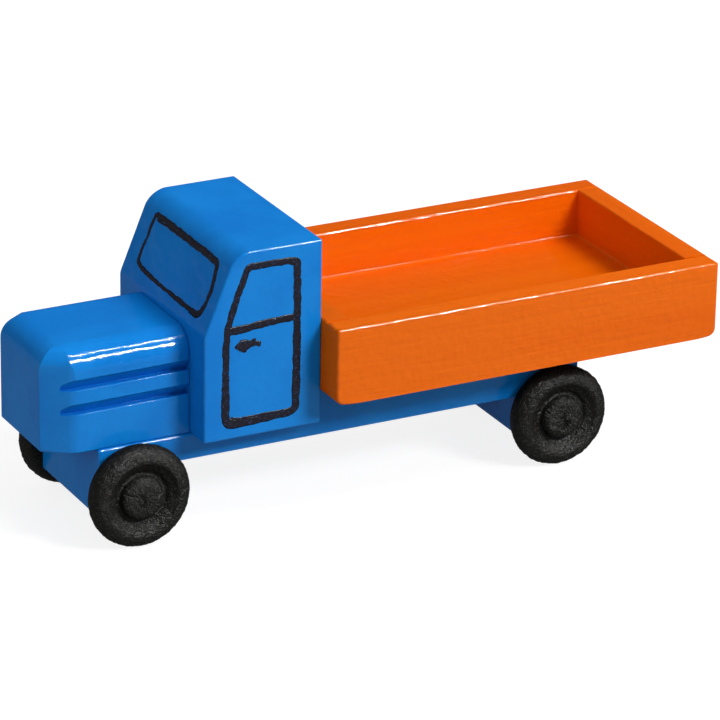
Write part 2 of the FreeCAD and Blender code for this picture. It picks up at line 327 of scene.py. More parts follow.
class ToyTruckStage(bpy.types.PropertyGroup):
    """Camera, lamps and floor."""

    camera_azimuth: FloatProperty(
        name="Camera Azimuth", description="Turn of the camera about the vertical",
        default=math.radians(152.325), subtype="ANGLE",
    )
    camera_elevation: FloatProperty(
        name="Camera Elevation", description="How far the camera looks down",
        default=math.radians(22.579), subtype="ANGLE",
    )
    camera_roll: FloatProperty(
        name="Camera Roll", description="Tilt of the camera about its own axis",
        default=math.radians(0.976), subtype="ANGLE",
    )
    camera_place: FloatVectorProperty(
        name="Camera Place", description="Where the camera stands", subtype="TRANSLATION",
        unit="LENGTH", size=3, default=(0.31468, 0.60541, 0.302175),
    )
    camera_lens: FloatProperty(
        name="Camera Lens", description="Focal length on a 36 mm sensor, in millimetres",
        default=232.73,
    )
    key_power: FloatProperty(
        name="Key Power", description="Power of the lower softbox", default=6.4, unit="POWER",
    )
    top_power: FloatProperty(
        name="Top Power", description="Power of the higher softbox", default=3.0, unit="POWER",
    )
    glint_power: FloatProperty(
        name="Glint Power", description="Power of the two strips that show only in the gloss",
        default=52, min=0, unit="POWER",
    )
    fill_power: FloatProperty(
        name="Fill Power", description="Power of the large panel beside the truck", default=1.1,
        unit="POWER",
    )
    front_power: FloatProperty(
        name="Front Power", description="Power of the panel ahead of the truck", default=2.4,
        unit="POWER",
    )
    world_level: FloatProperty(
        name="World Level", description="Brightness of the room", default=0.36, min=0,
    )
    floor_glow: FloatProperty(
        name="Floor Glow", description="Light added where the floor is seen, so that it is white",
        default=0.84, min=0,
    )


def start_piece():
    """Leaves edit mode and deselects everything, so that an operator meets only its piece."""
    if bpy.context.object and bpy.context.object.mode != "OBJECT":
        bpy.ops.object.mode_set(mode="OBJECT")
    bpy.ops.object.select_all(action="DESELECT")


def make_active(piece):
    """Selects one piece alone."""
    start_piece()
    piece.select_set(True)
    bpy.context.view_layer.objects.active = piece


def apply_place(piece):
    """Moves a piece's place, turn and scale into its mesh."""
    make_active(piece)
    bpy.ops.object.transform_apply(location=True, rotation=True, scale=True)


def add_block(name, low, high):
    """Adds a block between two corners and leaves it in edit mode."""
    start_piece()
    low, high = Vector(low), Vector(high)
    bpy.ops.mesh.primitive_cube_add(size=1, location=(low + high) / 2, scale=high - low)
    piece = bpy.context.object
    piece.name = name
    piece.data.name = name
    apply_place(piece)
    bpy.ops.object.mode_set(mode="EDIT")
    return piece


def choose(piece, kind, test):
    """In edit mode, selects the corners, edges or faces that pass a test."""
    bpy.ops.mesh.select_mode(type=kind)
    bpy.ops.mesh.select_all(action="DESELECT")
    shape = bmesh.from_edit_mesh(piece.data)
    items = {"VERT": shape.verts, "EDGE": shape.edges, "FACE": shape.faces}[kind]
    found = [item for item in items if test(item)]
    if not found:
        raise RuntimeError(f"{piece.name} has nothing to select")
    for item in found:
        item.select_set(True)
    bmesh.update_edit_mesh(piece.data)


def lies_at(edge, axis, value):
    """Says whether both ends of an edge have one coordinate."""
    return all(abs(getattr(end.co, axis) - value) < NEAR for end in edge.verts)


def runs_along(edge, axis):
    """Says whether an edge is parallel to an axis."""
    run = edge.verts[1].co - edge.verts[0].co
    return run.length > NEAR and abs(getattr(run.normalized(), axis)) > 0.999


def is_sharp(edge, least=math.radians(25)):
    """Says whether two faces meet at an edge at more than an angle."""
    return len(edge.link_faces) == 2 and edge.calc_face_angle(0) > least


def round_edges(piece, radius, segments, test):
    """Rounds the edges that pass a test. All of them turn by the same angle."""
    choose(piece, "EDGE", test)
    shape = bmesh.from_edit_mesh(piece.data)
    turn = next(edge for edge in shape.edges if edge.select).calc_face_angle(math.pi / 2)
    bpy.ops.mesh.bevel(
        offset=radius * math.tan(turn / 2), offset_type="OFFSET", segments=segments, affect="EDGES",
        clamp_overlap=True,
    )


def finish_mesh(piece, angle=math.radians(40)):
    """Leaves edit mode with outward faces, shaded smooth below an angle and flat on large faces."""
    bpy.ops.mesh.select_all(action="SELECT")
    bpy.ops.mesh.remove_doubles(threshold=NEAR / 10)
    bpy.ops.mesh.normals_make_consistent(inside=False)
    bpy.ops.object.mode_set(mode="OBJECT")
    make_active(piece)
    bpy.ops.object.shade_smooth_by_angle(angle=angle)
    bpy.ops.object.modifier_add(type="WEIGHTED_NORMAL")
    piece.modifiers[-1].keep_sharp = True
    bpy.ops.object.modifier_apply(modifier=piece.modifiers[-1].name)


def dress(piece, body, slot, material, *nodes):
    """Gives a finished piece its material and its body, and hides the nodes that it stands for. Its slot
    is not used.
    """
    piece.data.materials.clear()
    piece.data.materials.append(material)
    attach(piece, body)
    if nodes:
        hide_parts(*nodes)


class Finish:
    """A material under construction: a Principled shader and the patterns that feed it."""

    def __init__(self, name):
        self.material = bpy.data.materials.new(name)
        self.material.use_nodes = True
        self.tree = self.material.node_tree
        self.shader = self.tree.nodes["Principled BSDF"]
        self.place = self.tree.nodes.new("ShaderNodeTexCoord").outputs["Object"]
        self.normal = None

    def node(self, kind, **settings):
        """Adds a node to the material."""
        made = self.tree.nodes.new(kind)
        for name, value in settings.items():
            setattr(made, name, value)
        return made

    def link(self, start, end):
        """Joins an output to an input."""
        self.tree.links.new(start, end)

    def stretched(self, scale):
        """Object coordinates stretched along the axes."""
        mapping = self.node("ShaderNodeMapping")
        mapping.inputs["Scale"].default_value = scale
        self.link(self.place, mapping.inputs["Vector"])
        return mapping.outputs["Vector"]

    def noise(self, size, detail=2.0, roughness=0.5, stretch=None):
        """Cloudy noise whose patches are about one size across."""
        pattern = self.node("ShaderNodeTexNoise")
        pattern.inputs["Scale"].default_value = 1 / size
        pattern.inputs["Detail"].default_value = detail
        pattern.inputs["Roughness"].default_value = roughness
        self.link(self.stretched(stretch) if stretch else self.place, pattern.inputs["Vector"])
        return pattern.outputs["Fac"]

    def specks(self, spacing, radius):
        """Scattered round specks, 1 in the middle of a speck and 0 away from it."""
        pattern = self.node("ShaderNodeTexVoronoi")
        pattern.inputs["Scale"].default_value = 1 / spacing
        self.link(self.place, pattern.inputs["Vector"])
        return self.range(pattern.outputs["Distance"], 0, radius / spacing, 1, 0)

    def range(self, value, low, high, new_low=0.0, new_high=1.0):
        """Maps a span of a pattern onto another."""
        made = self.node("ShaderNodeMapRange", interpolation_type="SMOOTHSTEP")
        for name, number in (
            ("From Min", low), ("From Max", high), ("To Min", new_low), ("To Max", new_high),
        ):
            made.inputs[name].default_value = number
        self.link(value, made.inputs["Value"])
        return made.outputs["Result"]

    def colours(self, factor, first, second):
        """Mixes two colours by a pattern."""
        factor_socket, first_socket, second_socket, mixed = 0, 6, 7, 2
        mix = self.node("ShaderNodeMix", data_type="RGBA")
        self.link(factor, mix.inputs[factor_socket])
        mix.inputs[first_socket].default_value = tuple(first)
        mix.inputs[second_socket].default_value = tuple(second)
        return mix.outputs[mixed]

    def bump(self, height, depth):
        """Lays a relief over the ones before it."""
        relief = self.node("ShaderNodeBump")
        relief.inputs["Distance"].default_value = depth
        relief.inputs["Strength"].default_value = 1
        self.link(height, relief.inputs["Height"])
        if self.normal:
            self.link(self.normal, relief.inputs["Normal"])
        self.normal = relief.outputs["Normal"]

    def gloss(self, paint, roughness, share=1.0):
        """Leaves the paint itself matt, under a clear gloss that keeps small bright glints."""
        self.shader.inputs["Specular IOR Level"].default_value = 0
        self.shader.inputs["Coat Weight"].default_value = paint.gloss * share
        self.shader.inputs["Coat IOR"].default_value = paint.gloss_ior
        self.link(roughness, self.shader.inputs["Coat Roughness"])
        self.link(self.normal, self.shader.inputs["Coat Normal"])

    def done(self, colour, roughness=None):
        """Gives the material its colour, its own roughness and its relief."""
        self.link(colour, self.shader.inputs["Base Color"])
        if roughness:
            self.link(roughness, self.shader.inputs["Roughness"])
        if self.normal:
            self.link(self.normal, self.shader.inputs["Normal"])
        return self.material


def found_or_made(name, make):
    """Gives a material by name, and makes it the first time."""
    return bpy.data.materials.get(name) or make(name)


def blue_paint():
    """Glossy blue: soft patches, a fine orange peel and a few nibs of dust."""
    paint = bpy.context.scene.toy_truck_paint

    def make(name):
        finish = Finish(name)
        patches = finish.noise(9 * MM, detail=3)
        colour = finish.colours(finish.range(patches, 0.35, 0.65), paint.blue, paint.blue_shade)
        finish.bump(finish.noise(2.6 * MM, detail=1.5), 0.12 * MM)
        finish.bump(finish.noise(0.45 * MM, detail=1.5), 0.016 * MM)
        finish.bump(finish.specks(5.5 * MM, 0.26 * MM), 0.08 * MM)
        finish.gloss(paint, finish.range(finish.noise(3 * MM), 0.3, 0.7, 0.05, 0.1))
        return finish.done(colour)

    return found_or_made("blue_gloss_paint", make)


def orange_paint(grain, relief=1.0):
    """Glossy orange, with brush strokes along the board, laid flatter where relief is less."""
    paint = bpy.context.scene.toy_truck_paint
    along, across = 0.06, 1.0
    stretch = tuple(along if axis == grain else across for axis in "xyz")

    def make(name):
        finish = Finish(name)
        patches = finish.noise(8 * MM, detail=3, stretch=stretch)
        colour = finish.colours(finish.range(patches, 0.35, 0.65), paint.orange, paint.orange_shade)
        finish.bump(finish.noise(1.6 * MM, detail=2), 0.15 * MM)
        finish.bump(finish.noise(0.6 * MM, detail=2.5, stretch=stretch), 0.12 * MM * relief)
        finish.bump(finish.specks(6 * MM, 0.24 * MM), 0.06 * MM)
        finish.gloss(paint, finish.range(finish.noise(3 * MM), 0.3, 0.7, 0.08, 0.14))
        return finish.done(colour)

    return found_or_made(f"orange_gloss_paint_{relief}_along_{grain}", make)


def black_paint():
    """Black paint soaked into turned wood, with pores that glint."""
    paint = bpy.context.scene.toy_truck_paint

    def make(name):
        finish = Finish(name)
        pores = finish.noise(0.28 * MM, detail=3, roughness=0.65)
        colour = finish.colours(finish.range(pores, 0.5, 0.7), paint.black, paint.black_worn)
        finish.bump(finish.noise(0.9 * MM, detail=3, roughness=0.6), 0.22 * MM)
        finish.bump(finish.noise(0.26 * MM, detail=2.5, roughness=0.65), 0.22 * MM)
        finish.gloss(paint, finish.range(pores, 0.3, 0.7, 0.12, 0.3), 0.62)
        return finish.done(colour)

    return found_or_made("black_wheel_paint", make)


def ink():
    """Near-black pen ink with specks of the blue below."""
    paint = bpy.context.scene.toy_truck_paint

    def make(name):
        finish = Finish(name)
        grit = finish.noise(0.22 * MM, detail=2, roughness=0.6)
        colour = finish.colours(finish.range(grit, 0.56, 0.72), paint.ink, paint.ink_thin)
        finish.bump(finish.noise(0.3 * MM, detail=2), 0.12 * MM)
        finish.gloss(paint, finish.range(grit, 0.3, 0.7, 0.15, 0.3))
        return finish.done(colour)

    return found_or_made("pen_ink", make)


def bare_dowel():
    """Unpainted hardwood dowel, with grain along its length."""
    paint = bpy.context.scene.toy_truck_paint

    def make(name):
        finish = Finish(name)
        grain = finish.noise(0.35 * MM, detail=3, stretch=(1, 0.05, 1))
        colour = finish.colours(finish.range(grain, 0.4, 0.65), paint.dowel, paint.dowel_grain)
        finish.bump(grain, 0.01 * MM)
        return finish.done(colour, finish.range(grain, 0.3, 0.7, 0.5, 0.65))

    return found_or_made("bare_dowel_wood", make)


class TOYTRUCK_OT_cab(bpy.types.Operator):
    """Models the solid cab with its sloped windscreen"""

    bl_idname = "toytruck.cab"
    bl_label = "Cab"

    def execute(self, context):
        shape = context.scene.toy_truck_shape
        low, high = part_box("cab")
        sill = low.z + shape.windscreen_sill
        cab = add_block("painted_cab", low, (high.x, high.y, sill))
        choose(cab, "FACE", lambda face: face.normal.z > 0.9)
        bpy.ops.mesh.extrude_region_move(TRANSFORM_OT_translate={"value": (0, 0, high.z - sill)})
        choose(cab, "EDGE", lambda edge: lies_at(edge, "z", high.z) and lies_at(edge, "x", high.x))
        bpy.ops.transform.translate(value=(-shape.windscreen_setback, 0, 0))
        roof_front = high.x - shape.windscreen_setback
        round_edges(
            cab, shape.brow_radius, 10,
            lambda edge: runs_along(edge, "y") and lies_at(edge, "x", roof_front),
        )
        round_edges(
            cab, shape.fold_radius, 4,
            lambda edge: runs_along(edge, "y") and lies_at(edge, "z", sill) and lies_at(edge, "x", high.x),
        )
        round_edges(cab, shape.cab_edge, 5, lambda edge: is_sharp(edge) and not lies_at(edge, "z", low.z))
        round_edges(
            cab, shape.foot_edge, 3,
            lambda edge: is_sharp(edge, math.radians(60)) and lies_at(edge, "z", low.z),
        )
        finish_mesh(cab)
        dress(cab, TRUCK, "blue_paint", blue_paint(), "cab")
        return {"FINISHED"}


class TOYTRUCK_OT_bonnet(bpy.types.Operator):
    """Models the rounded bonnet, its sanded corners and the two grooves on each side"""

    bl_idname = "toytruck.bonnet"
    bl_label = "Bonnet"

    def execute(self, context):
        shape = context.scene.toy_truck_shape
        low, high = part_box("bonnet")
        bonnet = self.block(shape, low, high)
        self.sand_corners(bonnet, shape, low, high)
        round_edges(
            bonnet, shape.joint_edge, 2,
            lambda edge: lies_at(edge, "x", low.x) and not lies_at(edge, "z", low.z),
        )
        bpy.ops.object.mode_set(mode="OBJECT")
        for sign in SIDES.values():
            for lip in (shape.upper_groove, shape.lower_groove):
                self.cut_away(bonnet, self.groove_cutter(shape, sign, low, high, lip))
        self.soften_lips(bonnet, shape, low, high)
        finish_mesh(bonnet, math.radians(20))
        dress(bonnet, TRUCK, "blue_paint", blue_paint(), "bonnet")
        return {"FINISHED"}

    def block(self, shape, low, high):
        """The block with its long top edges and its front top edge rounded."""
        bonnet = add_block("grooved_bonnet", low, high)
        round_edges(
            bonnet, shape.bonnet_radius, 14,
            lambda edge: lies_at(edge, "z", high.z) and not lies_at(edge, "x", low.x),
        )
        return bonnet

    def sand_corners(self, bonnet, shape, low, high):
        """Sands both front corners flat, along curves that run out on the side, front and top."""
        side_steps, front_steps, shoulder_steps = 6, 4, 10
        turn = math.atan2(shape.facet_depth, shape.facet_length)
        rest = math.pi / 2 - turn
        soft, crisp = shape.facet_blend, shape.facet_lip
        side = (high.x - shape.facet_length - soft * math.tan(turn / 2), high.y - soft, soft)
        front = (high.x - crisp, high.y - shape.facet_depth - crisp * math.tan(rest / 2), crisp)
        strokes = [(side, turn * step / side_steps) for step in range(1, side_steps + 1)]
        strokes += [(front, turn + rest * step / front_steps) for step in range(1, front_steps)]
        planes = [((x, y, 0), angle, 0, radius) for (x, y, radius), angle in strokes]
        inset = shape.facet_depth * shape.facet_length / (shape.facet_depth + shape.facet_length)
        shoulder = shape.facet_shoulder
        within = (high.x - inset, high.y - inset, high.z - shoulder)
        for step in range(1, shoulder_steps):
            tilt = math.pi / 2 * step / shoulder_steps
            planes.append((within, turn, tilt, shoulder * (1 - math.cos(tilt))))
        for sign in SIDES.values():
            for (x, y, z), angle, tilt, reach in planes:
                level = math.cos(tilt)
                lean = Vector((math.sin(angle) * level, sign * math.cos(angle) * level, math.sin(tilt)))
                bpy.ops.mesh.select_all(action="SELECT")
                bpy.ops.mesh.bisect(
                    plane_co=Vector((x, sign * y, z)) + lean * reach, plane_no=lean,
                    use_fill=True, clear_outer=True, threshold=NEAR / 10,
                )
        bpy.ops.mesh.select_all(action="SELECT")
        bpy.ops.mesh.remove_doubles(threshold=NEAR)
        round_edges(
            bonnet, shape.foot_edge, 3,
            lambda edge: lies_at(edge, "z", low.z) and not lies_at(edge, "x", low.x),
        )

    def groove_cutter(self, shape, sign, low, high, lip):
        """Makes what one groove takes away: a slanted face over a ledge, up to the sanded corner."""
        height, depth = shape.groove_height, shape.groove_depth
        beyond = 1.6 * depth
        foot = low.z + lip
        head = foot + height * (1 + beyond / depth)
        tip = high.x - shape.groove_margin
        inner, outer = sign * (high.y - depth), sign * (high.y + beyond + depth)
        cutter = add_block(
            "groove_cutter", (low.x - depth, min(inner, outer), foot), (tip, max(inner, outer), head),
        )
        choose(cutter, "EDGE", lambda edge: lies_at(edge, "z", head) and lies_at(edge, "y", inner))
        bpy.ops.transform.translate(value=(0, sign * (depth + beyond), 0))
        fall = shape.groove_fall
        deepest = Vector((tip, inner, foot - fall))
        reach = abs(outer - inner)
        for side, drop in ((inner, -fall), (outer, fall * (reach / depth - 1))):
            choose(cutter, "EDGE", lambda edge: lies_at(edge, "z", foot) and lies_at(edge, "y", side))
            bpy.ops.transform.translate(value=(0, 0, drop))
        choose(cutter, "EDGE", lambda edge: any((end.co - deepest).length < NEAR for end in edge.verts))
        bpy.ops.mesh.bevel(offset=shape.groove_corner, offset_type="OFFSET", segments=5, affect="EDGES")
        for rise, sink in GROOVE_BROW:
            level = foot + height * rise
            flat = (depth + beyond) * (height * rise + fall) / (head - foot + fall)
            bpy.ops.mesh.select_all(action="SELECT")
            bpy.ops.mesh.bisect(plane_co=(0, 0, level), plane_no=(0, 0, 1), threshold=NEAR / 10)
            choose(
                cutter, "VERT",
                lambda corner: abs(corner.co.z - level) < NEAR and abs(corner.co.y) < abs(outer) - NEAR,
            )
            bpy.ops.transform.translate(value=(0, sign * (depth * (1 - sink) - flat), 0))
        bend = tip - shape.groove_bend
        bpy.ops.mesh.select_all(action="SELECT")
        bpy.ops.mesh.bisect(plane_co=(bend, 0, 0), plane_no=(1, 0, 0), threshold=NEAR / 10)
        choose(cutter, "VERT", lambda corner: corner.co.x > bend + NEAR)
        bpy.ops.transform.translate(value=(0, -sign * shape.groove_dip, 0))
        choose(cutter, "VERT", lambda corner: corner.co.x < low.x)
        bpy.ops.transform.translate(value=(0, 0, shape.groove_rise))
        bpy.ops.object.mode_set(mode="OBJECT")
        return cutter

    def cut_away(self, bonnet, cutter):
        """Takes a cutter's shape out of the bonnet and deletes the cutter."""
        make_active(bonnet)
        bpy.ops.object.modifier_add(type="BOOLEAN")
        cut = bonnet.modifiers[-1]
        cut.operation = "DIFFERENCE"
        cut.solver = "EXACT"
        cut.object = cutter
        bpy.ops.object.modifier_apply(modifier=cut.name)
        make_active(cutter)
        bpy.ops.object.delete()

    def soften_lips(self, bonnet, shape, low, high):
        """Softens the lower lips of the grooves."""
        make_active(bonnet)
        bpy.ops.object.mode_set(mode="EDIT")
        bpy.ops.mesh.select_all(action="SELECT")
        bpy.ops.mesh.remove_doubles(threshold=NEAR)
        margin = 2 * shape.groove_lip
        lips = [low.z + lip for lip in (shape.upper_groove, shape.lower_groove)]

        def is_lip(edge):
            middle = (edge.verts[0].co + edge.verts[1].co) / 2
            at_foot = any(-margin < middle.z - lip < shape.groove_rise + margin for lip in lips)
            on_side = abs(abs(middle.y) - high.y) < NEAR
            return at_foot and on_side and runs_along(edge, "x") and is_sharp(edge, math.radians(45))

        choose(bonnet, "EDGE", is_lip)
        bpy.ops.mesh.bevel(
            offset=shape.groove_lip, offset_type="OFFSET", segments=4, affect="EDGES", clamp_overlap=False,
        )


class TOYTRUCK_OT_bed(bpy.types.Operator):
    """Models the five boards of the open bed"""

    bl_idname = "toytruck.bed"
    bl_label = "Bed"

    def execute(self, context):
        shape = context.scene.toy_truck_shape
        self.floor(shape)
        for node, outward in (("bed_front_board", 1), ("bed_tailboard", -1)):
            self.end_board(shape, node, outward)
        for side, sign in SIDES.items():
            self.side_board(shape, f"bed_{side}_side", sign)
        return {"FINISHED"}

    def floor(self, shape):
        """The floor, with a bead of paint along its four walls."""
        low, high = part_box("bed_floor")
        climb, softness, relief = 1.2, 0.7, 0.4
        board = add_block("painted_bed_floor", low, high)
        choose(board, "FACE", lambda face: face.normal.z > 0.9)
        bpy.ops.mesh.inset(thickness=shape.paint_cove, depth=0)
        choose(board, "EDGE", lambda edge: lies_at(edge, "z", high.z) and self.on_rim(edge, low, high))
        bpy.ops.transform.translate(value=(0, 0, shape.paint_cove * climb))
        choose(board, "EDGE", lambda edge: lies_at(edge, "z", high.z) and not self.on_rim(edge, low, high))
        bpy.ops.mesh.bevel(offset=shape.paint_cove * softness, segments=4, affect="EDGES")
        finish_mesh(board, math.radians(60))
        dress(board, TRUCK, "orange_paint", orange_paint("x", relief), "bed_floor")

    def on_rim(self, edge, low, high):
        """Says whether an edge lies on the outline of the floor."""
        return any(
            lies_at(edge, axis, getattr(corner, axis)) for axis in "xy" for corner in (low, high)
        )

    def end_board(self, shape, node, outward):
        """The front board or the tailboard, glued between the sides."""
        low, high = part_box(node)
        board = add_block(f"painted_{node}", low, high)
        outer, inner = (high.x, low.x) if outward > 0 else (low.x, high.x)
        for radius, segments, x, z in (
            (shape.bed_corner, 6, outer, low.z),
            (shape.bed_edge, 4, outer, high.z),
            (shape.bed_inner_edge, 4, inner, high.z),
        ):
            round_edges(
                board, radius, segments,
                lambda edge: runs_along(edge, "y") and lies_at(edge, "x", x) and lies_at(edge, "z", z),
            )
        finish_mesh(board)
        dress(board, TRUCK, "orange_paint", orange_paint("y"), node)

    def side_board(self, shape, node, sign):
        """A side of the full length, its rim rounded on both sides."""
        low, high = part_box(node)
        inner = low.y if sign > 0 else high.y
        board = add_block(f"painted_{node}", low, high)

        def is_rim(edge):
            is_inner_end = runs_along(edge, "z") and lies_at(edge, "y", inner)
            return is_sharp(edge, math.radians(60)) and not lies_at(edge, "z", low.z) and not is_inner_end

        round_edges(
            board, shape.bed_corner, 6,
            lambda edge: runs_along(edge, "y") and lies_at(edge, "z", low.z),
        )
        round_edges(board, shape.bed_edge, 4, is_rim)
        finish_mesh(board)
        dress(board, TRUCK, "orange_paint", orange_paint("x"), node)


class TOYTRUCK_OT_wheels(bpy.types.Operator):
    """Turns one wheel and copies it to the four ends of the axles"""

    bl_idname = "toytruck.wheels"
    bl_label = "Wheels"

    steps: IntProperty(name="Steps", description="Facets round the wheel", default=224, min=12)

    def execute(self, context):
        shape = context.scene.toy_truck_shape
        pattern = self.turn(shape)
        for quarter, (end, side) in enumerate((end, side) for end in WHEELSETS for side in SIDES):
            node, sign = f"{end}_{side}_wheel", SIDES[side]
            low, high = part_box(node)
            back = low.y if sign > 0 else high.y
            axle = Vector(((low.x + high.x) / 2, back + sign * shape.tyre_half, (low.z + high.z) / 2))
            make_active(pattern)
            bpy.ops.object.duplicate(linked=False)
            wheel = bpy.context.object
            wheel.name = f"turned_{node}"
            wheel.data.name = wheel.name
            wheel.rotation_euler = (0, 0, 0) if sign > 0 else (0, 0, math.pi)
            apply_place(wheel)
            wheel.rotation_euler = (0, quarter * math.pi / 2, 0)
            wheel.location = axle
            apply_place(wheel)
            for place, size, turn, depth in HUB_DENTS[end]:
                self.dent(wheel, axle, sign, place, size, math.radians(turn), depth)
            dress(wheel, WHEELSETS[end], "black_paint", black_paint(), node)
        make_active(pattern)
        bpy.ops.object.delete()
        return {"FINISHED"}

    def turn(self, shape):
        """Turns a wheel about Y at the origin, with its hub towards +Y."""
        low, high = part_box("front_left_wheel")
        rise = high.y - low.y - 2 * shape.tyre_half
        rings = self.section(shape, rise, (high.z - low.z) / 2)
        start_piece()
        place, size = rings[0]
        bpy.ops.mesh.primitive_circle_add(
            vertices=self.steps, radius=size, fill_type="NGON", location=(0, place, 0),
            rotation=(math.pi / 2, 0, 0),
        )
        wheel = bpy.context.object
        apply_place(wheel)
        bpy.ops.object.mode_set(mode="EDIT")
        bpy.ops.mesh.select_mode(type="FACE")
        bpy.ops.mesh.select_all(action="SELECT")
        for next_place, next_size in rings[1:]:
            bpy.ops.mesh.extrude_region_move(TRANSFORM_OT_translate={"value": (0, next_place - place, 0)})
            growth = next_size / size
            bpy.ops.transform.resize(value=(growth, 1, growth), center_override=(0, next_place, 0))
            place, size = next_place, next_size
        choose(wheel, "FACE", lambda face: len(face.verts) > 4)
        bpy.ops.mesh.poke()
        bpy.ops.mesh.select_all(action="SELECT")
        bpy.ops.mesh.normals_make_consistent(inside=False)
        self.roughen(wheel, shape)
        finish_mesh(wheel, math.radians(80))
        return wheel

    def roughen(self, wheel, shape):
        """Leaves torn grain on the faces that show, more on the hub's end grain."""

        def shows(corner):
            return corner.co.y > -shape.tyre_half * 0.8

        def is_end_grain(corner):
            reach = math.hypot(corner.co.x, corner.co.z)
            return corner.co.y > 0 and shape.hub_radius / 2 < reach < shape.hub_radius

        passes = ((shows, 1.3, 4, 2), (shows, 0.7, 1, 4), (is_end_grain, 0.6, 2, 9))
        for test, share, smoothing, seed in passes:
            choose(wheel, "VERT", test)
            bpy.ops.transform.vertex_random(
                offset=shape.wood_relief * share * 2, uniform=0.2, normal=1.0, seed=seed,
            )
            bpy.ops.mesh.vertices_smooth(factor=0.5, repeat=smoothing)

    def dent(self, wheel, axle, outward, place, size, turn, depth):
        """Presses an oval dent into a wheel's hub, placed forward of and above the axle."""
        make_active(wheel)
        bpy.ops.object.mode_set(mode="EDIT")
        along = Vector((math.cos(turn), 0, math.sin(turn)))
        across = Vector((-math.sin(turn), 0, math.cos(turn)))
        middle = axle + Vector((place[0] * MM, 0, place[1] * MM))

        def is_in(corner):
            gap = corner.co - middle
            inside = (gap.dot(along) / (size[0] * MM)) ** 2 + (gap.dot(across) / (size[1] * MM)) ** 2 < 1
            return inside and (corner.co.y - axle.y) * outward > 0

        choose(wheel, "VERT", is_in)
        bpy.ops.transform.translate(value=(0, -outward * depth * MM, 0))
        bpy.ops.object.mode_set(mode="OBJECT")

    def section(self, shape, rise, radius):
        """The wheel's section from back to hub, as places along the axle and radii."""
        back_steps, tread_steps, lip_steps, wall_steps, edge_steps, face_steps = 5, 26, 9, 4, 8, 14
        lip_turn, middle = 58, 0.2 * MM
        half = shape.tyre_half
        radius = radius - shape.wood_relief
        half_face = half - shape.wood_relief
        crest = radius - half
        hub_face = half + rise - shape.wood_relief * 2
        floor = half - shape.hub_groove_depth
        rings = []
        for step in range(back_steps):
            turn = math.pi / 2 * (1 - step / back_steps)
            rings.append((-half * math.sin(turn), radius - shape.tyre_back * (1 - math.cos(turn))))
        for step in range(tread_steps + 1):
            turn = math.pi / 2 * step / tread_steps
            rings.append((half_face * math.sin(turn), crest + half * math.cos(turn)))
        for step in range(1, lip_steps + 1):
            turn = math.radians(90 + lip_turn * step / lip_steps)
            rings.append((
                half_face - shape.tyre_lip * (1 - math.sin(turn)), crest + shape.tyre_lip * math.cos(turn),
            ))
        for up, out, steps in HUB_DISH:
            rings += self.between(rings[-1], (floor + up * MM, shape.hub_radius + out * MM), steps)
        rings += self.between(rings[-1], (hub_face - shape.hub_edge, shape.hub_radius), wall_steps)
        for step in range(1, edge_steps + 1):
            turn = math.pi / 2 * step / edge_steps
            rings.append((
                hub_face - shape.hub_edge * (1 - math.sin(turn)),
                shape.hub_radius - shape.hub_edge * (1 - math.cos(turn)),
            ))
        rings += self.between(rings[-1], (hub_face + shape.wood_relief, middle), face_steps)
        return rings

    def between(self, start, end, steps):
        """Evenly spaced rings after one and up to another."""
        return [
            tuple(a + (b - a) * step / steps for a, b in zip(start, end)) for step in range(1, steps + 1)
        ]


